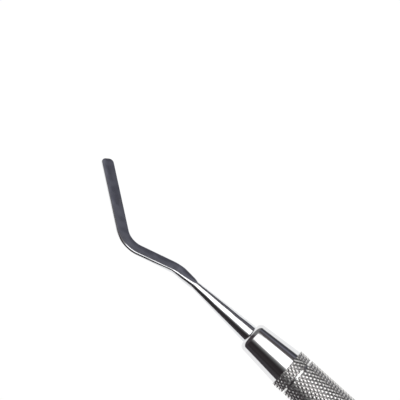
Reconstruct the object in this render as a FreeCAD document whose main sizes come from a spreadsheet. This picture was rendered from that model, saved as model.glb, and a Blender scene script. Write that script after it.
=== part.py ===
import FreeCAD, Part
import Sketcher
import os
from math import asin, atan, cos, degrees, hypot, pi, radians, sin, tan

# A double-ended plastic filling instrument, in millimetres.
# A knurled steel tube is the handle. A turned ferrule is pressed into each end of it, and a
# forged working end is pressed into each ferrule: round at the shank, then hammered flat.
# The flat of one end lies in the plane of its bends (hatchet), the other's lies across it (hoe).
# X runs along the handle to the hatchet end, +Z is up and the origin is the handle's middle.
# The instrument lies as it comes to rest: on its handle and on the tip of the hatchet blade.

SIZES = [
    ("handle_diameter", 8.0, "over the crests of the knurl"),
    ("tube_length", 76.0, "handle tube, end to end"),
    ("tube_wall", 1.0, "handle tube, from the crests of the knurl in to its bore"),
    ("knurl_depth", 0.3, "crest to root"),
    ("knurl_starts", 16, "grooves of each hand round the handle, every second one of the 32"),
    ("knurl_angle", 30.0, "degrees between a groove and the axis"),
    ("band_length", 22.0, "plain band in the middle of the handle"),
    ("band_step", 0.15, "from the crests of the knurl in to the plain band"),
    ("groove_width", 0.36, "turned groove that bounds each knurl"),
    ("groove_depth", 0.5, "from the crests of the knurl in to the floor of the grooves"),
    ("collar_length", 2.3, "knurled collar of a ferrule"),
    ("cone_length", 9.05, "polished cone, from the collar to its nose face"),
    ("cone_step", 0.3, "from the crests of the knurl in to the cone at the collar"),
    ("cone_nose_diameter", 5.9, "cone at the nose, before its edge is rounded"),
    ("nose_radius", 1.1, "rounded edge of the nose"),
    ("spigot_length", 9.0, "ferrule inside the tube"),
    ("fit_gap", 0.01, "radial gap of the pressed joints"),
    ("tang_diameter", 2.6, "root of a working end inside its ferrule"),
    ("tang_length", 8.0, "root of a working end inside its ferrule"),
    ("bore_spare", 0.6, "ferrule bore beyond the end of the tang"),
    ("shank_diameter", 3.6, "shank at the ferrule"),
    ("shank_length", 13.3, "round shank, from the ferrule to the neck"),
    ("neck_diameter", 1.65, "thinnest section, where the flats begin"),
    ("neck_length", 3.3, "where the bar widens, from the neck to the first bend"),
    ("contra_angle", 21.0, "degrees, first bend, away from the handle's axis"),
    ("contra_width", 2.2, "flat between the two bends"),
    ("contra_bend_radius", 6.0, "first bend, on its centre line"),
    ("hatchet_contra", 10.8, "flat between the two bends, corner to corner"),
    ("hatchet_angle", 43.8, "degrees between blade and handle, back over the axis"),
    ("hatchet_length", 17.9, "blade, corner to tip"),
    ("hatchet_width", 2.5, "blade"),
    ("hatchet_bend_radius", 4.4, "second bend, on its centre line"),
    ("hoe_contra", 11.5, "flat between the two bends, corner to corner"),
    ("hoe_angle", 54.0, "degrees between blade and handle, back over the axis"),
    ("hoe_length", 16.7, "blade, corner to tip"),
    ("hoe_width", 2.2, "blade"),
    ("hoe_bend_radius", 2.2, "second bend, on its centre line"),
    ("first_bend_thickness", 1.0, "across the flats at the first bend"),
    ("second_bend_thickness", 0.6, "across the flats at the second bend"),
    ("tip_thickness", 0.42, "across the flats at the tip"),
    ("tip_corner_radius", 0.8, "rounded corners of the blade's end"),
]

CREST = "Sizes.handle_diameter / 2"
BORE = f"({CREST} - Sizes.tube_wall)"
GROOVE = f"({CREST} - Sizes.groove_depth)"
FLAT_LEAD = 1.0
CLEAR = 6.0
SEAM = 1e-6

doc = FreeCAD.newDocument("filling_instrument")
sheet = doc.addObject("Spreadsheet::Sheet", "Sizes")
for row, (alias, number, note) in enumerate(SIZES, start=1):
    sheet.set(f"A{row}", alias)
    sheet.set(f"B{row}", str(number))
    sheet.set(f"C{row}", note)
    sheet.setAlias(f"B{row}", alias)
doc.recompute()


def value(expression):
    """The number that a sheet expression comes to."""
    return float(sheet.evalExpression(str(expression)))


def size(alias):
    return value(f"Sizes.{alias}")


def plane_of(body, role):
    """The body's own origin plane of that role."""
    return next(item for item in body.Origin.OriginFeatures if item.Role == role)


def new_sketch(body, name, role):
    sketch = body.newObject("Sketcher::SketchObject", name)
    sketch.AttachmentSupport = [(plane_of(body, role), "")]
    sketch.MapMode = "FlatFace"
    return sketch


def bind(sketch, kind, references, expression, name):
    """One dimension of a sketch, bound to the sheet."""
    index = sketch.addConstraint(Sketcher.Constraint(kind, *references, value(expression)))
    sketch.renameConstraint(index, name)
    sketch.setExpression(f"Constraints.{name}", expression)


def place_point(sketch, point, corner, name):
    """Holds a sketch point at its corner's two expressions."""
    for kind, axis, expression in (("DistanceX", -2, corner[0]), ("DistanceY", -1, corner[1])):
        if expression == "0":
            sketch.addConstraint(Sketcher.Constraint("PointOnObject", *point, axis))
        else:
            bind(sketch, kind, (-1, 1, *point), expression, f"{name}_{kind[-1].lower()}")


def rounded_corner(spot, before, after, radius):
    """The arc that rounds a corner, and its sketch ends: where the path enters and leaves it."""
    towards = (before - spot).normalize()
    onward = (after - spot).normalize()
    half = towards.getAngle(onward) / 2
    centre = spot + (towards + onward).normalize() * (radius / sin(half))
    entry = spot + towards * (radius / tan(half)) - centre
    leave = spot + onward * (radius / tan(half)) - centre
    clockwise = entry.cross(leave).z < 0
    first = leave if clockwise else entry
    start = first.getAngle(FreeCAD.Vector(1, 0, 0)) * (1 if first.y >= 0 else -1)
    circle = Part.Circle(centre, FreeCAD.Vector(0, 0, 1), radius)
    curve = Part.ArcOfCircle(circle, start, start + entry.getAngle(leave))
    return (curve, 2, 1) if clockwise else (curve, 1, 2)


def end_point(curve, end):
    return curve.StartPoint if end == 1 else curve.EndPoint


def draw(sketch, corners, closed=True):
    """Draws straight legs through corners given as (x, y) or (x, y, radius) expressions."""
    spots = [FreeCAD.Vector(value(corner[0]), value(corner[1]), 0) for corner in corners]
    count = len(corners)
    arcs = {}
    for index, corner in enumerate(corners):
        if len(corner) == 3:
            beside = (spots[index - 1], spots[(index + 1) % count])
            arcs[index] = rounded_corner(spots[index], *beside, value(corner[2]))
    legs = []
    for index in range(count if closed else count - 1):
        follow = (index + 1) % count
        start = end_point(arcs[index][0], arcs[index][2]) if index in arcs else spots[index]
        stop = end_point(arcs[follow][0], arcs[follow][1]) if follow in arcs else spots[follow]
        legs.append(sketch.addGeometry(Part.LineSegment(start, stop), False))
    for index, corner in enumerate(corners):
        name = f"corner_{index + 1}"
        if not closed and index == count - 1:
            place_point(sketch, (legs[-1], 2), corner, name)
            continue
        before, after = legs[index - 1], legs[index]
        if index not in arcs:
            if closed or index > 0:
                sketch.addConstraint(Sketcher.Constraint("Coincident", before, 2, after, 1))
            place_point(sketch, (after, 1), corner, name)
            continue
        curve, entry, leave = arcs[index]
        arc = sketch.addGeometry(curve, False)
        spot = sketch.addGeometry(Part.Point(spots[index]), True)
        sketch.addConstraint(Sketcher.Constraint("Tangent", before, 2, arc, entry))
        sketch.addConstraint(Sketcher.Constraint("Tangent", after, 1, arc, leave))
        sketch.addConstraint(Sketcher.Constraint("PointOnObject", spot, 1, before))
        sketch.addConstraint(Sketcher.Constraint("PointOnObject", spot, 1, after))
        place_point(sketch, (spot, 1), corner, name)
        bind(sketch, "Radius", (arc,), corner[2], f"{name}_r")


def turned(body, name, corners):
    """A revolved feature: x along the axis, y its radius."""
    sketch = new_sketch(body, f"{name}_profile", "XY_Plane")
    draw(sketch, corners)
    feature = body.newObject("PartDesign::Revolution", name)
    feature.Profile = sketch
    feature.ReferenceAxis = (sketch, ["H_Axis"])
    feature.Angle = 360
    return feature


def knurled_sleeve(name, start, length):
    """A ring whose outside is cut into pyramids by crossing grooves, from start along X."""
    crest = value(CREST)
    root = crest - size("knurl_depth")
    inner = (value(GROOVE) + value(BORE)) / 2
    starts = round(size("knurl_starts"))
    pitch = pi * 2 * crest / starts / tan(radians(size("knurl_angle")))
    rows = max(2, round(2 * length / pitch))

    def spot(row, step):
        radius = crest if (row + step) % 2 == 0 else root
        angle = pi * (step + 0.5) / starts
        along = start + length * row / rows
        return FreeCAD.Vector(along, radius * cos(angle), radius * sin(angle))

    def facet(*corners):
        return Part.Face(Part.makePolygon([*corners, corners[0]]))

    faces = []
    for row in range(rows):
        for step in range(2 * starts):
            near = [spot(row, step), spot(row, step + 1)]
            far = [spot(row + 1, step), spot(row + 1, step + 1)]
            if (row + step) % 2 == 0:
                faces += [facet(near[0], near[1], far[0]), facet(far[1], far[0], near[1])]
            else:
                faces += [facet(near[1], far[1], near[0]), facet(far[0], near[0], far[1])]
    lining = Part.makeCylinder(inner, length, FreeCAD.Vector(start, 0, 0), FreeCAD.Vector(1, 0, 0))
    faces += [face for face in lining.Faces if face.Surface.TypeId == "Part::GeomCylinder"]
    mouths = [edge for edge in lining.Edges if edge.Curve.TypeId == "Part::GeomCircle"]
    for row in (0, rows):
        rim = Part.makePolygon([spot(row, step) for step in range(2 * starts + 1)])
        along = spot(row, 0).x
        mouth = next(edge for edge in mouths if abs(edge.CenterOfMass.x - along) < length / 2)
        faces.append(Part.Face([rim, Part.Wire(mouth)]))
    shell = Part.makeCompound(faces)
    shell.sewShape()
    solid = Part.Solid(shell.Shells[0])
    solid.fix(SEAM, SEAM, SEAM)
    if solid.Volume < 0:
        solid.reverse()
    sleeve = doc.addObject("Part::Feature", name)
    sleeve.Shape = solid
    return sleeve


def joined(name, pieces):
    """One solid of several."""
    whole = doc.addObject("Part::MultiFuse", name)
    whole.Shapes = pieces
    return whole


def handle_tube():
    """The tube: bored through, a plain band between two knurled grips with turned grooves."""
    body = doc.addObject("PartDesign::Body", "tube_blank")
    half, band = "Sizes.tube_length / 2", "Sizes.band_length / 2"
    plain = f"{CREST} - Sizes.band_step"
    turned(body, "tube_turning", [
        (f"-{half}", BORE),
        (f"-{half}", GROOVE),
        (f"-{band}", GROOVE),
        (f"-{band}", plain),
        (band, plain),
        (band, GROOVE),
        (half, GROOVE),
        (half, BORE),
    ])
    grip = value(f"{half} - {band}") - size("groove_width")
    left = knurled_sleeve("hoe_grip", -value(half), grip)
    right = knurled_sleeve("hatchet_grip", value(half) - grip, grip)
    return joined("handle_tube", [body, left, right])


def ferrule(kind):
    """Spigot, groove, knurled collar and polished cone in one turned piece, bored from its nose."""
    body = doc.addObject("PartDesign::Body", f"{kind}_ferrule_blank")
    spigot = f"{BORE} - Sizes.fit_gap"
    collar = "Sizes.groove_width + Sizes.collar_length"
    nose = f"{collar} + Sizes.cone_length"
    bore = "Sizes.tang_diameter / 2 + Sizes.fit_gap"
    bottom = f"{nose} - Sizes.tang_length - Sizes.bore_spare"
    turned(body, f"{kind}_ferrule_turning", [
        ("-Sizes.spigot_length", "0"),
        ("-Sizes.spigot_length", spigot),
        ("0", spigot),
        ("0", GROOVE),
        (collar, GROOVE),
        (collar, f"{CREST} - Sizes.cone_step"),
        (nose, "Sizes.cone_nose_diameter / 2", "Sizes.nose_radius"),
        (nose, bore),
        (bottom, bore),
        (bottom, "0"),
    ])
    knurl = knurled_sleeve(f"{kind}_collar_knurl", size("groove_width"), size("collar_length"))
    return joined(f"{kind}_ferrule", [body, knurl])


LEAD = "(Sizes.neck_length + Sizes.contra_bend_radius * tan(Sizes.contra_angle / 2))"
FIRST_BEND = (f"Sizes.shank_length + {LEAD}", "0")


def blade_corner(kind):
    """The corner between the flat and the blade."""
    return (
        f"{FIRST_BEND[0]} + Sizes.{kind}_contra * cos(Sizes.contra_angle)",
        f"Sizes.{kind}_contra * sin(Sizes.contra_angle)",
    )


def tip_of(kind, extra=0):
    """The end of the blade's centre line, or a point that lies further along it."""
    corner = blade_corner(kind)
    length = f"(Sizes.{kind}_length + {extra})"
    return (
        f"{corner[0]} + {length} * cos(Sizes.{kind}_angle)",
        f"{corner[1]} - {length} * sin(Sizes.{kind}_angle)",
    )


def section(body, spine, edge, end, diameter, name):
    """A circle square to one end of a spine's edge."""
    sketch = body.newObject("Sketcher::SketchObject", name)
    sketch.AttachmentSupport = [(spine, edge)]
    sketch.MapMode = "NormalToEdge"
    sketch.MapPathParameter = end
    circle = Part.Circle(FreeCAD.Vector(0, 0, 0), FreeCAD.Vector(0, 0, 1), value(diameter) / 2)
    sketch.addGeometry(circle, False)
    sketch.addConstraint(Sketcher.Constraint("Coincident", 0, 3, -1, 1))
    bind(sketch, "Diameter", (0,), diameter, "across")
    return sketch


def swept(body, name, spine, edges, first, last=None):
    """A round bar along some of the spine's edges, growing from one section to the next."""
    feature = body.newObject("PartDesign::AdditivePipe", name)
    feature.Profile = first
    feature.Spine = (spine, edges)
    if last:
        feature.Transformation = "Multisection"
        feature.Sections = [last]
    return feature


def bent_bar(kind):
    """Tang, tapered shank and round bar along both bends, before it is hammered flat."""
    body = doc.addObject("PartDesign::Body", f"{kind}_bar")
    turned(body, f"{kind}_shank", [
        ("-Sizes.tang_length", "0"),
        ("-Sizes.tang_length", "Sizes.tang_diameter / 2"),
        ("0", "Sizes.tang_diameter / 2"),
        ("0", "Sizes.shank_diameter / 2"),
        ("Sizes.shank_length", "Sizes.neck_diameter / 2"),
        ("Sizes.shank_length", "0"),
    ])
    spine = new_sketch(body, f"{kind}_spine", "XY_Plane")
    draw(spine, [
        ("Sizes.shank_length", "0"),
        (*FIRST_BEND, "Sizes.contra_bend_radius"),
        (*blade_corner(kind), f"Sizes.{kind}_bend_radius"),
        tip_of(kind),
    ], closed=False)
    doc.recompute()
    along = sorted(enumerate(spine.Shape.Edges, start=1), key=lambda item: item[1].CenterOfMass.x)
    neck, first_bend, contra, second_bend, blade = [f"Edge{number}" for number, edge in along]
    at_neck = section(body, spine, neck, 0, "Sizes.neck_diameter", f"{kind}_neck_section")
    at_bend = section(body, spine, neck, 1, "Sizes.contra_width", f"{kind}_bend_start")
    at_contra = section(body, spine, contra, 0, "Sizes.contra_width", f"{kind}_contra_start")
    at_turn = section(body, spine, contra, 1, "Sizes.contra_width", f"{kind}_contra_end")
    at_blade = section(body, spine, blade, 0, f"Sizes.{kind}_width", f"{kind}_blade_start")
    swept(body, f"{kind}_neck", spine, [neck], at_neck, at_bend)
    swept(body, f"{kind}_first_bend", spine, [first_bend], at_bend)
    swept(body, f"{kind}_contra", spine, [contra], at_contra)
    swept(body, f"{kind}_second_bend", spine, [second_bend], at_turn, at_blade)
    swept(body, f"{kind}_blade", spine, [blade], at_blade)
    doc.recompute()
    bar = body.Tip
    tip = FreeCAD.Vector(*(value(number) for number in tip_of(kind)), 0)
    distances = [edge.CenterOfMass.distanceToPoint(tip) for edge in bar.Shape.Edges]
    rim = distances.index(min(distances)) + 1
    rounding = body.newObject("PartDesign::Fillet", f"{kind}_blade_corners")
    rounding.Base = (bar, [f"Edge{rim}"])
    rounding.setExpression("Radius", "Sizes.tip_corner_radius")
    return body


def flats(kind, role, upper, lower):
    """What hammering leaves: the room between the two flats, clear of the round shank."""
    body = doc.addObject("PartDesign::Body", f"{kind}_flats")
    sketch = new_sketch(body, f"{kind}_flats_profile", role)
    back = f"-Sizes.tang_length - {FLAT_LEAD}"
    start = f"Sizes.shank_length - {FLAT_LEAD}"
    fall = f"(Sizes.neck_diameter - Sizes.first_bend_thickness) / 2 / {LEAD}"
    height = f"Sizes.neck_diameter / 2 + {fall} * {FLAT_LEAD}"
    draw(sketch, [
        (back, str(CLEAR)),
        (start, str(CLEAR)),
        (start, height),
        *upper,
        *reversed(lower),
        (start, f"-({height})"),
        (start, str(-CLEAR)),
        (back, str(-CLEAR)),
    ])
    pad = body.newObject("PartDesign::Pad", f"{kind}_flats_room")
    pad.Profile = sketch
    pad.SideType = "Symmetric"
    pad.setExpression("Length", f"2 * (Sizes.{kind}_contra + Sizes.{kind}_length)")
    return body


def hatchet_flats():
    """The flats lie in the plane of the bends, so their profile is seen from the side."""
    corner = blade_corner("hatchet")[0]
    sides = []
    for sign in ("", "-"):
        sides.append([
            (FIRST_BEND[0], f"{sign}Sizes.first_bend_thickness / 2", "Sizes.contra_bend_radius"),
            (corner, f"{sign}Sizes.second_bend_thickness / 2"),
            (tip_of("hatchet", FLAT_LEAD)[0], f"{sign}Sizes.tip_thickness / 2"),
        ])
    return flats("hatchet", "XZ_Plane", *sides)


def hoe_flats():
    """The flats lie across the plane of the bends, so their profile follows the bends."""
    blade = "Sizes.hoe_angle"
    contra = "Sizes.contra_angle"
    mitre = f"(1 + cos({contra} + {blade}))"
    corner = blade_corner("hoe")
    far = tip_of("hoe", FLAT_LEAD)
    sides = []
    for sign in ("+", "-"):
        other = "-" if sign == "+" else "+"
        first = "Sizes.first_bend_thickness / 2"
        second = "Sizes.second_bend_thickness / 2"
        last = "Sizes.tip_thickness / 2"
        sides.append([
            (
                f"{FIRST_BEND[0]} {other} {first} * tan({contra} / 2)",
                f"{sign}{first}".lstrip("+"),
                f"Sizes.contra_bend_radius {other} {first}",
            ),
            (
                f"{corner[0]} {sign} {second} * (sin({blade}) - sin({contra})) / {mitre}",
                f"{corner[1]} {sign} {second} * (cos({blade}) + cos({contra})) / {mitre}",
                f"Sizes.hoe_bend_radius {sign} {second}",
            ),
            (
                f"{far[0]} {sign} {last} * sin({blade})",
                f"{far[1]} {sign} {last} * cos({blade})",
            ),
        ])
    return flats("hoe", "XY_Plane", *sides)


def working_end(kind, room):
    end = doc.addObject("Part::Common", f"{kind}_working_end")
    end.Base = bent_bar(kind)
    end.Tool = room
    return end


def resting_roll(end):
    """How far it is rolled about X when it lies on the blade's tip and on two crests abreast."""
    depth = -end.Shape.optimalBoundingBox(False, False).YMin
    half = size("tip_thickness") / 2
    radius = value(CREST) * cos(pi / 2 / round(size("knurl_starts")))
    return degrees(asin(radius / hypot(depth, half)) - atan(half / depth))


tube = handle_tube()
hatchet_ferrule = ferrule("hatchet")
hoe_ferrule = ferrule("hoe")
hatchet_end = working_end("hatchet", hatchet_flats())
hoe_end = working_end("hoe", hoe_flats())
doc.recompute()

shoulder = size("tube_length") / 2
nose = shoulder + size("groove_width") + size("collar_length") + size("cone_length")
roll = FreeCAD.Rotation(FreeCAD.Vector(1, 0, 0), resting_roll(hatchet_end))
half_turn = FreeCAD.Rotation(FreeCAD.Vector(0, 0, 1), 180)
hatchet_ferrule.Placement = FreeCAD.Placement(FreeCAD.Vector(shoulder, 0, 0), FreeCAD.Rotation())
hatchet_end.Placement = FreeCAD.Placement(FreeCAD.Vector(nose, 0, 0), roll)
hoe_ferrule.Placement = FreeCAD.Placement(FreeCAD.Vector(-shoulder, 0, 0), half_turn)
hoe_end.Placement = FreeCAD.Placement(FreeCAD.Vector(-nose, 0, 0), roll * half_turn)

sub_parts = [tube, hatchet_ferrule, hoe_ferrule, hatchet_end, hoe_end]
for piece in doc.Objects:
    if {"Invalid", "Error"} & set(piece.State):
        raise RuntimeError(f"{piece.Name} failed: {piece.State}")
for piece in sub_parts:
    if piece.Shape.isNull() or not piece.Shape.isValid() or len(piece.Shape.Solids) != 1:
        raise RuntimeError(f"{piece.Label} is not one valid solid")
os.makedirs("parts", exist_ok=True)
for piece in sub_parts:
    piece.Shape.exportStep(f"parts/{piece.Label}.step")
    print(piece.Label, round(piece.Shape.Volume, 2), piece.Shape.BoundBox)
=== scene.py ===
from math import asin, atan, atan2, cos, hypot, pi, radians, sin, tan

import bpy
from mathutils import Matrix, Vector


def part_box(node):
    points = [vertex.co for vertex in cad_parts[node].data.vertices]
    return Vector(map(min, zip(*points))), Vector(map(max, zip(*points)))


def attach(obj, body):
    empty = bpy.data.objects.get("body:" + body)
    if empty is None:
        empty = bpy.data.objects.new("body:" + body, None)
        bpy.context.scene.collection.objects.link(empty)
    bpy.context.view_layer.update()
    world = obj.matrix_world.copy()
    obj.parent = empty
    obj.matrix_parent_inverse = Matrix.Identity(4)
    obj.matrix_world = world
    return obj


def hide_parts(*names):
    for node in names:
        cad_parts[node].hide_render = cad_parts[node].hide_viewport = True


# A double-ended plastic filling instrument of stainless steel, lying on a white sheet.
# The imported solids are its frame: X is the handle's axis, the origin is the handle's middle,
# and the instrument rests on its handle and on the tip of the hatchet blade.
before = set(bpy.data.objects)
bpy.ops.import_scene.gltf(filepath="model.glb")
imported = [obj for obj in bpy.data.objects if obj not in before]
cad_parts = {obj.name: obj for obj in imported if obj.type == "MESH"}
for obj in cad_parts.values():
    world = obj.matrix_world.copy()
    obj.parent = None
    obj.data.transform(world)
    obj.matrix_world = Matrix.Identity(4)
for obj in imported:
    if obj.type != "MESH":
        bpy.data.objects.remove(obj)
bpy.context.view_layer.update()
bpy.context.scene.view_settings.view_transform = "Standard"

# The handle is a steel tube. Two grips are rolled into it with a diamond knurl, each bounded
# by a narrow turned groove, and between them a plain band is left, where the holder clips on.
# One hand of the knurl's grooves is rolled deeper. The knurl's colour darkens from its tops down
# to its roots, as painted shade in the grooves.
MM = 0.001
ROUND = 64
KNURL_STARTS = 32
KNURL_PITCH = 1.26 * MM
KNURL_DEPTH = 0.22 * MM
KNURL_FLAT = 0.25
KNURL_SADDLE = 0.6
BAND_LENGTH = 22 * MM
BAND_RADIUS = 3.85 * MM
BAND_EDGE = 0.12 * MM
GROOVE_WIDTH = 0.36 * MM
GROOVE_RADIUS = 3.5 * MM
BORE_RADIUS = 3 * MM
TOUCH = 0.001 * MM
SMOOTH_UP_TO = radians(28)
# The roots' tone is painted shade: the knurl's colour darkens down into its grooves.
KNURL_ROOT_PAINTED_SHADE = (0.36, 0.35, 0.35)
KNURL_CREST_TONE = (0.88, 0.87, 0.86)
TURNING_LINES = [((11000, 150, 150), 0, 0.0008 * MM)]
tube_low, tube_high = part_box("handle_tube")
CREST_RADIUS = tube_high.y
TUBE_END = tube_high.x


def apply_place(piece):
    """Turns a piece's place and turn into its mesh's own."""
    bpy.ops.object.select_all(action="DESELECT")
    piece.select_set(True)
    bpy.context.view_layer.objects.active = piece
    bpy.ops.object.transform_apply(location=True, rotation=True, scale=True)


def choose(piece, test):
    """Selects the vertices of a piece in edit mode whose place passes the test, and no others."""
    bpy.ops.mesh.select_all(action="DESELECT")
    bpy.ops.mesh.select_mode(type="VERT")
    bpy.ops.object.mode_set(mode="OBJECT")
    for corner in piece.data.vertices:
        corner.select = test(corner.co)
    bpy.ops.object.mode_set(mode="EDIT")


def turned(name, stations, corners=ROUND, fill="NOTHING", half_step=False):
    """A piece turned about X: a circle drawn out from one (place, radius) to the next."""
    place, radius = stations[0]
    bpy.ops.object.select_all(action="DESELECT")
    bpy.ops.mesh.primitive_circle_add(
        vertices=corners, radius=radius, fill_type=fill,
        location=(place, 0, 0), rotation=(0, pi / 2, 0),
    )
    piece = bpy.context.object
    piece.name = name
    apply_place(piece)
    if half_step:
        piece.rotation_euler.x = pi / corners
        apply_place(piece)
    bpy.ops.object.mode_set(mode="EDIT")
    bpy.ops.mesh.select_all(action="SELECT")
    for next_place, next_radius in stations[1:]:
        bpy.ops.mesh.extrude_region_move(
            TRANSFORM_OT_translate={"value": (next_place - place, 0, 0)}
        )
        growth = next_radius / radius
        bpy.ops.transform.resize(
            value=(1, growth, growth), center_override=(next_place, 0, 0)
        )
        place, radius = next_place, next_radius
    bpy.ops.object.mode_set(mode="OBJECT")
    return piece


def knurled(name, start, length):
    """A knurled sleeve, from a grid of corners round a cylinder.

    Every second corner is sunk as a root, and the others are cut flat as crests. Both hands of
    the groove run from root to root, and one hand is lifted where it crosses the other's ridges.
    """
    rows = round(2 * length / KNURL_PITCH)
    tip_radius = CREST_RADIUS + KNURL_DEPTH * KNURL_FLAT / (1 - KNURL_FLAT)
    root_radius = CREST_RADIUS - KNURL_DEPTH
    sink = root_radius / tip_radius
    lift = 1 + KNURL_SADDLE * KNURL_DEPTH / root_radius
    step = length / rows
    piece = turned(
        name, [(start + step * row, tip_radius) for row in range(rows + 1)], 2 * KNURL_STARTS
    )

    def turns(place):
        return atan2(place.y, place.z) * KNURL_STARTS / pi

    def is_root(place):
        return (round((place.x - start) / step) + round(turns(place))) % 2 == 1

    def is_saddle(place):
        return abs((place.x - start) / step % 1 - 0.5) < 0.25

    bpy.ops.object.mode_set(mode="EDIT")
    choose(piece, is_root)
    bpy.ops.transform.resize(value=(1, sink, sink), center_override=(start, 0, 0))
    bpy.ops.mesh.vert_connect()
    bpy.ops.mesh.select_mode(type="EDGE")
    bpy.ops.object.mode_set(mode="OBJECT")
    for edge in piece.data.edges:
        first, last = [piece.data.vertices[corner].co for corner in edge.vertices]
        turn = (turns(last) - turns(first) + KNURL_STARTS) % (2 * KNURL_STARTS) - KNURL_STARTS
        edge.select = turn * (first.x - last.x) > step / 2
    bpy.ops.object.mode_set(mode="EDIT")
    bpy.ops.mesh.subdivide(number_cuts=1)
    choose(piece, is_saddle)
    bpy.ops.transform.resize(value=(1, lift, lift), center_override=(start, 0, 0))
    choose(piece, lambda place: not is_saddle(place) and not is_root(place))
    bpy.ops.mesh.bevel(
        offset_type="PERCENT", offset_pct=100 * KNURL_FLAT, affect="VERTICES", segments=1
    )
    bpy.ops.object.mode_set(mode="OBJECT")
    return piece


def seamed(pieces, seams):
    """Joins open rings into one piece and bridges the two rims that meet at each seam."""
    whole = pieces[0]
    bpy.ops.object.select_all(action="DESELECT")
    for piece in pieces:
        piece.select_set(True)
    bpy.context.view_layer.objects.active = whole
    bpy.ops.object.join()
    bpy.ops.object.mode_set(mode="EDIT")
    for seam in seams:
        bpy.ops.mesh.select_mode(type="EDGE")
        bpy.ops.mesh.select_all(action="DESELECT")
        bpy.ops.mesh.select_non_manifold(extend=False, use_wire=False, use_multi_face=False,
                                         use_non_contiguous=False, use_verts=False)
        bpy.ops.object.mode_set(mode="OBJECT")
        for rim in whole.data.edges:
            ends = [whole.data.vertices[corner].co.x for corner in rim.vertices]
            rim.select = rim.select and all(abs(end - seam) < TOUCH for end in ends)
        bpy.ops.object.mode_set(mode="EDIT")
        bpy.ops.mesh.bridge_edge_loops()
    bpy.ops.mesh.select_all(action="SELECT")
    bpy.ops.mesh.fill_holes(sides=0)
    bpy.ops.mesh.select_all(action="SELECT")
    bpy.ops.mesh.normals_make_consistent(inside=False)
    bpy.ops.object.mode_set(mode="OBJECT")
    return whole


def steel(name, colour, roughness):
    """Bare stainless steel, with the way to its shader left open for a finish."""
    material = bpy.data.materials.new(name)
    material.use_nodes = True
    shader = material.node_tree.nodes["Principled BSDF"]
    shader.inputs["Base Color"].default_value = (*colour, 1.0)
    shader.inputs["Metallic"].default_value = 1.0
    shader.inputs["Roughness"].default_value = roughness
    return material


def by_radius(material, radii, tones):
    """Colours a material from one tone to the other by the distance from the handle's axis."""
    nodes, links = material.node_tree.nodes, material.node_tree.links
    place = nodes.new("ShaderNodeTexCoord")
    flat = nodes.new("ShaderNodeMapping")
    flat.inputs["Scale"].default_value = (0, 1, 1)
    links.new(place.outputs["Object"], flat.inputs["Vector"])
    radius = nodes.new("ShaderNodeVectorMath")
    radius.operation = "LENGTH"
    links.new(flat.outputs["Vector"], radius.inputs[0])
    height = nodes.new("ShaderNodeMapRange")
    height.inputs["From Min"].default_value = radii[0]
    height.inputs["From Max"].default_value = radii[1]
    links.new(radius.outputs["Value"], height.inputs["Value"])
    ramp = nodes.new("ShaderNodeValToRGB")
    ramp.color_ramp.elements[0].color = (*tones[0], 1)
    ramp.color_ramp.elements[1].color = (*tones[1], 1)
    links.new(height.outputs["Result"], ramp.inputs["Fac"])
    links.new(ramp.outputs["Color"], nodes["Principled BSDF"].inputs["Base Color"])


def lined(material, source, lines):
    """Lines that a tool leaves in a steel: (scale along each axis, shift, depth) of each."""
    nodes, links = material.node_tree.nodes, material.node_tree.links
    place = nodes.new("ShaderNodeTexCoord")
    normal = None
    for scale, shift, depth in lines:
        stretch = nodes.new("ShaderNodeMapping")
        stretch.inputs["Location"].default_value.x = shift
        stretch.inputs["Scale"].default_value = scale
        links.new(place.outputs[source], stretch.inputs["Vector"])
        noise = nodes.new("ShaderNodeTexNoise")
        noise.inputs["Scale"].default_value = 1.0
        links.new(stretch.outputs["Vector"], noise.inputs["Vector"])
        bump = nodes.new("ShaderNodeBump")
        bump.inputs["Distance"].default_value = depth
        links.new(noise.outputs["Fac"], bump.inputs["Height"])
        if normal:
            links.new(normal, bump.inputs["Normal"])
        normal = bump.outputs["Normal"]
    links.new(normal, nodes["Principled BSDF"].inputs["Normal"])


knurled_steel = steel("knurled_steel", KNURL_CREST_TONE, 0.2)
# Painted shade: the knurl's colour runs from its tops' tone down to a dark tone in its roots.
by_radius(
    knurled_steel, (CREST_RADIUS - KNURL_DEPTH, CREST_RADIUS - KNURL_DEPTH / 2),
    (KNURL_ROOT_PAINTED_SHADE, KNURL_CREST_TONE),
)
turned_steel = steel("turned_steel", (0.72, 0.715, 0.71), 0.18)
lined(turned_steel, "Object", TURNING_LINES)


def made_of(piece, material):
    """Gives a part of a piece its steel, before it is joined to the others."""
    piece.data.materials.clear()
    piece.data.materials.append(material)
    return piece


grip = TUBE_END - BAND_LENGTH / 2 - GROOVE_WIDTH
band = BAND_LENGTH / 2
tube = seamed(
    [
        made_of(knurled("knurled_handle", -TUBE_END, grip), knurled_steel),
        made_of(knurled("right_grip", TUBE_END - grip, grip), knurled_steel),
        made_of(turned("left_groove", [
            (-band - GROOVE_WIDTH, GROOVE_RADIUS), (-band, GROOVE_RADIUS),
        ]), turned_steel),
        made_of(turned("right_groove", [
            (band, GROOVE_RADIUS), (band + GROOVE_WIDTH, GROOVE_RADIUS),
        ]), turned_steel),
        made_of(turned("band", [
            (-band, BAND_RADIUS - BAND_EDGE),
            (-band + BAND_EDGE, BAND_RADIUS),
            (band - BAND_EDGE, BAND_RADIUS),
            (band, BAND_RADIUS - BAND_EDGE),
        ]), turned_steel),
        made_of(turned("bore", [(-TUBE_END, BORE_RADIUS), (TUBE_END, BORE_RADIUS)]), turned_steel),
    ],
    [-TUBE_END, -band - GROOVE_WIDTH, -band, band, band + GROOVE_WIDTH, TUBE_END],
)


def finished(piece, node):
    """Gives a piece its smooth rounds and its body, and hides the node that it stands for."""
    bpy.ops.object.select_all(action="DESELECT")
    piece.select_set(True)
    bpy.context.view_layer.objects.active = piece
    bpy.ops.object.shade_smooth_by_angle(angle=SMOOTH_UP_TO)
    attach(piece, "root")
    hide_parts(node)


finished(tube, "handle_tube")

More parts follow.
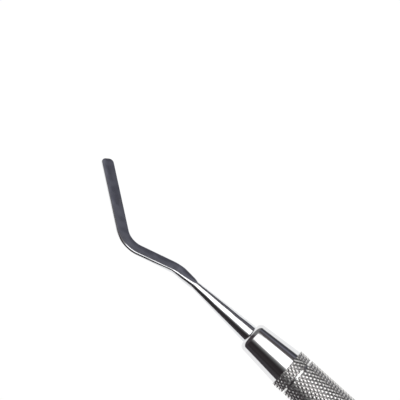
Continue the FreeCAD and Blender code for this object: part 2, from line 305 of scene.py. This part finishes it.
# The ferrules are turned from solid bar: a spigot pressed into the tube, a groove, a knurled
# collar that carries the grip's pattern on, and a cone polished bright up to its round nose.
COLLAR_LENGTH = 2.3 * MM
CONE_BASE = 3.7 * MM
CONE_NOSE = 2.95 * MM
CONE_EDGE = 0.05 * MM
NOSE_ROUND = 1.1 * MM
NOSE_STEPS = 12
SPIGOT_RADIUS = 2.99 * MM
FERRULE_BORE = 1.31 * MM
FERRULE_BORE_DEPTH = 8.6 * MM
POLISHED_ROUND = 128
POLISHING_LINES = [((9000, 100, 100), 0, 0.00015 * MM), ((500, 400, 400), 0, 0.004 * MM)]
ferrule_low, ferrule_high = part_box("hatchet_ferrule")
NOSE_FACE = ferrule_high.x
SPIGOT_END = ferrule_low.x
bore_bottom = NOSE_FACE - FERRULE_BORE_DEPTH

collar_start = TUBE_END + GROOVE_WIDTH
collar_end = collar_start + COLLAR_LENGTH
cone_slope = (CONE_BASE - CONE_NOSE) / (NOSE_FACE - collar_end)
round_turn = pi / 2 - atan(cone_slope)
nose_stations = []
for step in range(NOSE_STEPS + 1):
    angle = round_turn * step / NOSE_STEPS
    nose_stations.append((
        NOSE_FACE - NOSE_ROUND + NOSE_ROUND * sin(pi / 2 - angle),
        CONE_NOSE - NOSE_ROUND + NOSE_ROUND * cos(pi / 2 - angle),
    ))

polished_steel = steel("polished_steel", (0.78, 0.78, 0.79), 0.08)
lined(polished_steel, "Object", POLISHING_LINES)
cone = turned("hatchet_ferrule_turned", [
    (bore_bottom, FERRULE_BORE),
    (NOSE_FACE, FERRULE_BORE),
    *nose_stations,
    (collar_end, CONE_BASE),
    (collar_end, CONE_BASE - CONE_EDGE),
], POLISHED_ROUND)
spigot = turned("spigot", [
    (collar_start, GROOVE_RADIUS),
    (TUBE_END, GROOVE_RADIUS),
    (TUBE_END, SPIGOT_RADIUS),
    (SPIGOT_END, SPIGOT_RADIUS),
])
collar = knurled("collar", collar_start, COLLAR_LENGTH)
hatchet_ferrule = seamed([
    made_of(cone, polished_steel), made_of(spigot, turned_steel), made_of(collar, knurled_steel),
], [collar_start, collar_end])
hoe_ferrule = hatchet_ferrule.copy()
hoe_ferrule.data = hatchet_ferrule.data.copy()
hoe_ferrule.name = "hoe_ferrule_turned"
bpy.context.collection.objects.link(hoe_ferrule)
hoe_ferrule.rotation_euler.z = pi
apply_place(hoe_ferrule)
finished(hatchet_ferrule, "hatchet_ferrule")
finished(hoe_ferrule, "hoe_ferrule")

# Each working end is forged from one round bar. Its tang is pressed into the ferrule, and its
# tapered shank ends in a thin neck. From there the bar is hammered flat, thinner towards the
# tip, which is ground round, and bent twice: away from the axis, and back over it. It is
# polished by hand along its length, which leaves fine lines and slightly uneven flats.
TANG_RADIUS = 1.3 * MM
TANG_LENGTH = 8 * MM
SHANK_RADIUS = 1.8 * MM
SHANK_LENGTH = 13.3 * MM
NECK_RADIUS = 0.825 * MM
NECK_LENGTH = 3.3 * MM
NECK_EDGES = [
    (0.3, 0.66), (0.7, 0.52), (1.2, 0.46), (1.7, 0.42), (2.2, 0.38), (2.7, 0.34), (3.3, 0.31),
]
FIRST_TURN = radians(21)
FIRST_BEND_RADIUS = 6 * MM
FLAT_RADIUS = 1.1 * MM
CORNER_REACH = 0.4 * MM
CORNER_RISE = 0.005 * MM
CORNER_FALL = 0.008 * MM
SECOND_BEND_RISE = 0.04 * MM
FIRST_HALF = 0.5 * MM
SECOND_HALF = 0.3 * MM
TIP_HALF = 0.21 * MM
FIRST_EDGE = 0.29 * MM
SECOND_EDGE = 0.22 * MM
TIP_EDGE = 0.12 * MM
TIP_ROUND = 0.8 * MM
TIP_STEPS = 10
SLICES = 16
BLADE_LINES = [((1.5, 5, 1), 0, 0.004 * MM), ((0.12, 0.12, 1), 4.3, 0.45 * MM)]


def hammered(bar, place, radius, sections):
    """Draws a round bar's end on through (place, half width, half thickness, edge radius).

    Each section is the round one, scaled to the radius of its edges and pulled apart.
    """
    spread = [0, 0]
    bpy.ops.object.mode_set(mode="EDIT")
    for next_place, half_width, half_thickness, edge in sections:
        bpy.ops.mesh.extrude_region_move(
            TRANSFORM_OT_translate={"value": (next_place - place, 0, 0)}
        )
        growth = edge / radius
        bpy.ops.transform.resize(
            value=(1, growth, growth), center_override=(next_place, 0, 0)
        )
        for axis, reach in ((1, half_width), (2, half_thickness)):
            pull = reach - edge - growth * spread[axis - 1]
            spread[axis - 1] = reach - edge
            for side in (1, -1):
                choose(bar, lambda spot: spot.x > next_place - TOUCH and spot[axis] * side > 0)
                move = [0, 0, 0]
                move[axis] = side * pull
                bpy.ops.transform.translate(value=move)
        choose(bar, lambda spot: spot.x > next_place - TOUCH)
        place, radius = next_place, edge
    bpy.ops.mesh.select_all(action="SELECT")
    bpy.ops.mesh.normals_make_consistent(inside=False)
    bpy.ops.object.mode_set(mode="OBJECT")


def lay_lengthwise(bar):
    """Keeps each corner's place on the straight bar, in millimetres, for the polish to follow."""
    lengthwise = bar.data.uv_layers.active
    lengthwise.name = "lengthwise"
    for loop in bar.data.loops:
        spot = bar.data.vertices[loop.vertex_index].co
        lengthwise.data[loop.index].uv = (spot.x / MM, spot.y / MM)


def bent(bar, start, length, turn):
    """Bends a bar in the XY plane: from start on, over that length, by that turn."""
    bpy.ops.object.mode_set(mode="EDIT")
    for step in range(SLICES + 1):
        bpy.ops.mesh.select_all(action="SELECT")
        bpy.ops.mesh.bisect(
            plane_co=(start + length * step / SLICES, 0, 0), plane_no=(1, 0, 0)
        )
    bpy.ops.object.mode_set(mode="OBJECT")
    bar.location.x = -start
    apply_place(bar)
    reach = [corner.co.x for corner in bar.data.vertices]
    whole = max(reach) - min(reach)
    bpy.ops.object.modifier_add(type="SIMPLE_DEFORM")
    bend = bar.modifiers[-1]
    bend.deform_method = "BEND"
    bend.deform_axis = "Z"
    bend.angle = turn
    bend.limits = (-min(reach) / whole, (length - min(reach)) / whole)
    bpy.ops.object.modifier_apply(modifier=bend.name)
    bar.location.x = start
    apply_place(bar)


def working_end(name, contra, blade, back, half_width, bend_radius, flats_across):
    """One end along X from the ferrule's nose, with both bends in the XY plane.

    contra is the length between the bends, and back the angle that the blade leans back.
    """
    second_turn = FIRST_TURN + back
    second_tangent = bend_radius * tan(second_turn / 2)
    first_bend = SHANK_LENGTH + NECK_LENGTH
    flat = first_bend + FIRST_BEND_RADIUS * FIRST_TURN
    second_bend = flat + contra - FIRST_BEND_RADIUS * tan(FIRST_TURN / 2) - second_tangent
    blade_start = second_bend + bend_radius * second_turn
    tip = blade_start + blade - second_tangent
    first_corner = (first_bend + flat) / 2
    second_corner = (second_bend + blade_start) / 2
    fall = (NECK_RADIUS - FIRST_HALF) / (first_corner - SHANK_LENGTH)
    growth = (FLAT_RADIUS - NECK_RADIUS) / NECK_LENGTH
    sections = [
        (SHANK_LENGTH + along * MM, NECK_RADIUS + growth * along * MM,
         NECK_RADIUS - fall * along * MM, edge * MM)
        for along, edge in NECK_EDGES
    ]
    thinning = (SECOND_HALF - TIP_HALF) / (tip - second_corner)
    sections += [
        (first_corner - CORNER_REACH, FLAT_RADIUS, FIRST_HALF + CORNER_REACH * fall, FIRST_EDGE),
        (first_corner, FLAT_RADIUS, FIRST_HALF + CORNER_RISE, FIRST_EDGE),
        (first_corner + CORNER_REACH, FLAT_RADIUS, FIRST_HALF - CORNER_FALL, FIRST_EDGE),
        (second_bend, FLAT_RADIUS, SECOND_HALF + SECOND_BEND_RISE, SECOND_EDGE),
        (blade_start, half_width, SECOND_HALF - thinning * (blade_start - second_corner),
         SECOND_EDGE),
    ]
    for step in range(TIP_STEPS + 1):
        angle = pi / 2 * step / TIP_STEPS
        sections.append((
            tip - TIP_ROUND + TIP_ROUND * sin(angle),
            half_width - TIP_ROUND + TIP_ROUND * cos(angle),
            TIP_HALF, TIP_EDGE,
        ))
    bar = turned(name, [
        (-TANG_LENGTH, TANG_RADIUS), (0, TANG_RADIUS), (0, SHANK_RADIUS),
        (SHANK_LENGTH, NECK_RADIUS),
    ], ROUND, "NGON", half_step=True)
    hammered(bar, SHANK_LENGTH, NECK_RADIUS, sections)
    lay_lengthwise(bar)
    if flats_across:
        bar.rotation_euler.x = pi / 2
        apply_place(bar)
    bent(bar, second_bend, bend_radius * second_turn, -second_turn)
    bent(bar, first_bend, FIRST_BEND_RADIUS * FIRST_TURN, FIRST_TURN)
    return bar


hatchet_end = working_end(
    "hatchet_end_forged", contra=10.8 * MM, blade=17.9 * MM, back=radians(43.8),
    half_width=1.25 * MM, bend_radius=4.4 * MM, flats_across=False,
)
hoe_end = working_end(
    "hoe_end_forged", contra=11.5 * MM, blade=16.7 * MM, back=radians(54),
    half_width=1.1 * MM, bend_radius=2.2 * MM, flats_across=True,
)

# The instrument lies on two crests of its knurl and on the tip of the hatchet blade, so both
# ends are turned about the handle's axis until that tip is as low as the crests.
blade_depth = -min(corner.co.y for corner in hatchet_end.data.vertices)
rest_radius = -tube_low.z
roll = asin(rest_radius / hypot(blade_depth, TIP_HALF)) - atan(TIP_HALF / blade_depth)
hoe_end.rotation_euler.z = pi
apply_place(hoe_end)
blade_steel = steel("blade_steel", (0.76, 0.77, 0.79), 0.1)
lined(blade_steel, "UV", BLADE_LINES)
made_of(hatchet_end, blade_steel)
made_of(hoe_end, blade_steel)
for piece, place, node in (
    (hatchet_end, NOSE_FACE, "hatchet_working_end"), (hoe_end, -NOSE_FACE, "hoe_working_end"),
):
    piece.rotation_euler.x = roll
    piece.location.x = place
    apply_place(piece)
    finished(piece, node)

# The camera looks down on the hatchet end, as the photograph does: the handle runs out of the
# frame at the lower right, and its axis is square to the view, which leans a little from above.
LEAN = radians(18)
AXIS_IN_FRAME = radians(222)
FRAME_PIXELS = 400
PIXELS_PER_MM = 5.5
NOSE_PIXEL = (249.7, 334.2)
CAMERA_DISTANCE = 1.0
CAMERA_REACH = 20
FLOOR_Z = tube_low.z

towards_camera = Vector((0, sin(LEAN), cos(LEAN)))
across = Vector((0, -cos(LEAN), sin(LEAN)))
along = Vector((1, 0, 0))
right = along * cos(AXIS_IN_FRAME) - across * sin(AXIS_IN_FRAME)
up = -along * sin(AXIS_IN_FRAME) - across * cos(AXIS_IN_FRAME)
pixel = MM / PIXELS_PER_MM
frame_width = FRAME_PIXELS * pixel
nose = Vector((NOSE_FACE, 0, 0))
middle = nose + right * (FRAME_PIXELS / 2 - NOSE_PIXEL[0]) * pixel
middle += up * (NOSE_PIXEL[1] - FRAME_PIXELS / 2) * pixel
bpy.ops.object.camera_add()
camera = bpy.context.object
camera.matrix_world = Matrix.Translation(middle + towards_camera * CAMERA_DISTANCE) @ Matrix(
    (right, up, towards_camera)
).transposed().to_4x4()
camera.data.lens = camera.data.sensor_width * CAMERA_DISTANCE / frame_width
camera.data.clip_end = CAMERA_REACH
bpy.context.scene.camera = camera

# The sheet is white to the camera. Steel sees it white only up to a line beside the handle; beyond
# that line the sheet is painted near black for glossy rays, a painted dark reflection that stands
# in for a dark side of the room.
SHEET_SIZE = 4
SHEET_STRENGTH = 1.08
SHEET_GLOW = 0.9
SHEET_PAINTED_REFLECTION = (0.05, 0.045, 0.05, 1)
DARK_LINE = 11.5 * MM
bpy.ops.mesh.primitive_plane_add(size=SHEET_SIZE, location=(0, 0, FLOOR_Z))
floor = bpy.context.object
floor.name = "floor"
white = bpy.data.materials.new("white_sheet")
white.use_nodes = True
nodes, links = white.node_tree.nodes, white.node_tree.links
paper = nodes["Principled BSDF"]
paper.inputs["Base Color"].default_value = (1, 1, 1, 1)
paper.inputs["Roughness"].default_value = 1.0
paper.inputs["Specular IOR Level"].default_value = 0.0
place = nodes.new("ShaderNodeTexCoord")
parts = nodes.new("ShaderNodeSeparateXYZ")
links.new(place.outputs["Object"], parts.inputs["Vector"])
beyond = nodes.new("ShaderNodeMath")
beyond.operation = "GREATER_THAN"
beyond.inputs[1].default_value = DARK_LINE
links.new(parts.outputs["Y"], beyond.inputs[0])
ray = nodes.new("ShaderNodeLightPath")
painted_reflection_mask = nodes.new("ShaderNodeMath")
painted_reflection_mask.operation = "MULTIPLY"
links.new(beyond.outputs["Value"], painted_reflection_mask.inputs[0])
links.new(ray.outputs["Is Glossy Ray"], painted_reflection_mask.inputs[1])
glow = nodes.new("ShaderNodeEmission")
glow.inputs["Strength"].default_value = SHEET_STRENGTH
lit = nodes.new("ShaderNodeMixShader")
lit.inputs["Fac"].default_value = SHEET_GLOW
links.new(paper.outputs["BSDF"], lit.inputs[1])
links.new(glow.outputs["Emission"], lit.inputs[2])
# Painted reflection: a near-black emission that only glossy rays see, beyond the line.
dark = nodes.new("ShaderNodeEmission")
dark.inputs["Color"].default_value = SHEET_PAINTED_REFLECTION
sheet = nodes.new("ShaderNodeMixShader")
links.new(painted_reflection_mask.outputs["Value"], sheet.inputs["Fac"])
links.new(lit.outputs["Shader"], sheet.inputs[1])
links.new(dark.outputs["Emission"], sheet.inputs[2])
links.new(sheet.outputs["Shader"], nodes["Material Output"].inputs["Surface"])
floor.data.materials.append(white)

# The room is dark on the +Y side and dark grey, a little blue, on the other, where its two ends
# are lighter. Its tones are uneven, as a room's are. The light that hangs over the handle is one
# long strip, whose +Y edge fades softly into the dark.
ROOM = [
    (-180, (0.1, 0.1, 0.11)),
    (-90, (0.1, 0.1, 0.11)),
    (-80, (0.07, 0.068, 0.073)),
    (-70, (0.1, 0.1, 0.125)),
    (-62, (0.16, 0.16, 0.19)),
    (-55, (0.11, 0.1, 0.11)),
    (-38, (0.15, 0.14, 0.14)),
    (20, (0.8, 0.8, 0.8)),
    (27, (0.6, 0.6, 0.6)),
    (31, (0.36, 0.36, 0.36)),
    (37, (0.18, 0.18, 0.18)),
    (43, (0.075, 0.075, 0.075)),
    (50, (0.035, 0.03, 0.032)),
    (90, (0.03, 0.026, 0.028)),
    (115, (0.07, 0.065, 0.07)),
    (180, (0.07, 0.065, 0.07)),
]
ROOM_ENDS = [
    (0.24, 0.4, [(-180, (0.2, 0.2, 0.2)), (-15, (0.2, 0.2, 0.2)), (3, (0.07, 0.06, 0.065)),
                 (180, (0.06, 0.05, 0.055))]),
    (-0.24, -0.4, [(-180, (0.45, 0.45, 0.45)), (-15, (0.45, 0.45, 0.45)), (3, (0.08, 0.08, 0.08)),
                   (180, (0.06, 0.06, 0.07))]),
]
CLUTTER_SCALE = 7
CLUTTER_LOW = 0.3
CLUTTER_HIGH = 0.7
CLUTTER_SHARE = 0.35
world = bpy.data.worlds.new("room")
bpy.context.scene.world = world
world.use_nodes = True
nodes, links = world.node_tree.nodes, world.node_tree.links
room = nodes["Background"]
direction = nodes.new("ShaderNodeTexCoord")
parts = nodes.new("ShaderNodeSeparateXYZ")
links.new(direction.outputs["Generated"], parts.inputs["Vector"])
slope = nodes.new("ShaderNodeMath")
slope.operation = "ARCTAN2"
links.new(parts.outputs["Y"], slope.inputs[0])
links.new(parts.outputs["Z"], slope.inputs[1])
share = nodes.new("ShaderNodeMapRange")
share.inputs["From Min"].default_value = -pi
share.inputs["From Max"].default_value = pi
links.new(slope.outputs["Value"], share.inputs["Value"])


def walls(stations):
    """The room's tones round the handle's axis, from (degrees over, tone) to the next."""
    tones = nodes.new("ShaderNodeValToRGB")
    links.new(share.outputs["Result"], tones.inputs["Fac"])
    stops = tones.color_ramp.elements
    stops.remove(stops[1])
    for index, (degrees_over, tone) in enumerate(stations):
        position = (degrees_over + 180) / 360
        stop = stops[0] if index == 0 else stops.new(position)
        stop.position = position
        stop.color = (*tone, 1)
    return tones.outputs["Color"]


room_tone = walls(ROOM)
for near, far, stations in ROOM_ENDS:
    reach = nodes.new("ShaderNodeMapRange")
    reach.interpolation_type = "SMOOTHSTEP"
    reach.inputs["From Min"].default_value = near
    reach.inputs["From Max"].default_value = far
    links.new(parts.outputs["X"], reach.inputs["Value"])
    end = nodes.new("ShaderNodeMix")
    end.data_type = "RGBA"
    links.new(walls(stations), end.inputs["B"])
    links.new(reach.outputs["Result"], end.inputs["Factor"])
    links.new(room_tone, end.inputs["A"])
    room_tone = end.outputs["Result"]
clutter = nodes.new("ShaderNodeTexNoise")
clutter.inputs["Scale"].default_value = CLUTTER_SCALE
clutter.inputs["Detail"].default_value = 1.0
links.new(direction.outputs["Generated"], clutter.inputs["Vector"])
uneven = nodes.new("ShaderNodeMapRange")
uneven.inputs["From Min"].default_value = CLUTTER_LOW
uneven.inputs["From Max"].default_value = CLUTTER_HIGH
uneven.inputs["To Min"].default_value = 1 - CLUTTER_SHARE
uneven.inputs["To Max"].default_value = 1 + CLUTTER_SHARE
links.new(clutter.outputs["Fac"], uneven.inputs["Value"])
scaled = nodes.new("ShaderNodeVectorMath")
scaled.operation = "SCALE"
links.new(room_tone, scaled.inputs[0])
links.new(uneven.outputs["Result"], scaled.inputs["Scale"])
links.new(scaled.outputs["Vector"], room.inputs["Color"])
backdrop = nodes.new("ShaderNodeBackground")
backdrop.inputs["Color"].default_value = (1, 1, 1, 1)
ray = nodes.new("ShaderNodeLightPath")
mix = nodes.new("ShaderNodeMixShader")
links.new(ray.outputs["Is Camera Ray"], mix.inputs["Fac"])
links.new(room.outputs["Background"], mix.inputs[1])
links.new(backdrop.outputs["Background"], mix.inputs[2])
links.new(mix.outputs["Shader"], nodes["World Output"].inputs["Surface"])

BOX_HEIGHT = 0.5
BOX_NEAR = -0.375
BOX_FAR = 0.22
BOX_LENGTH = 0.32
BOX_POWER = 4.3
bpy.ops.object.light_add(type="AREA", location=(0, (BOX_NEAR + BOX_FAR) / 2, BOX_HEIGHT))
softbox = bpy.context.object.data
softbox.shape = "RECTANGLE"
softbox.size = BOX_LENGTH
softbox.size_y = BOX_FAR - BOX_NEAR
softbox.energy = BOX_POWER * softbox.size * softbox.size_y
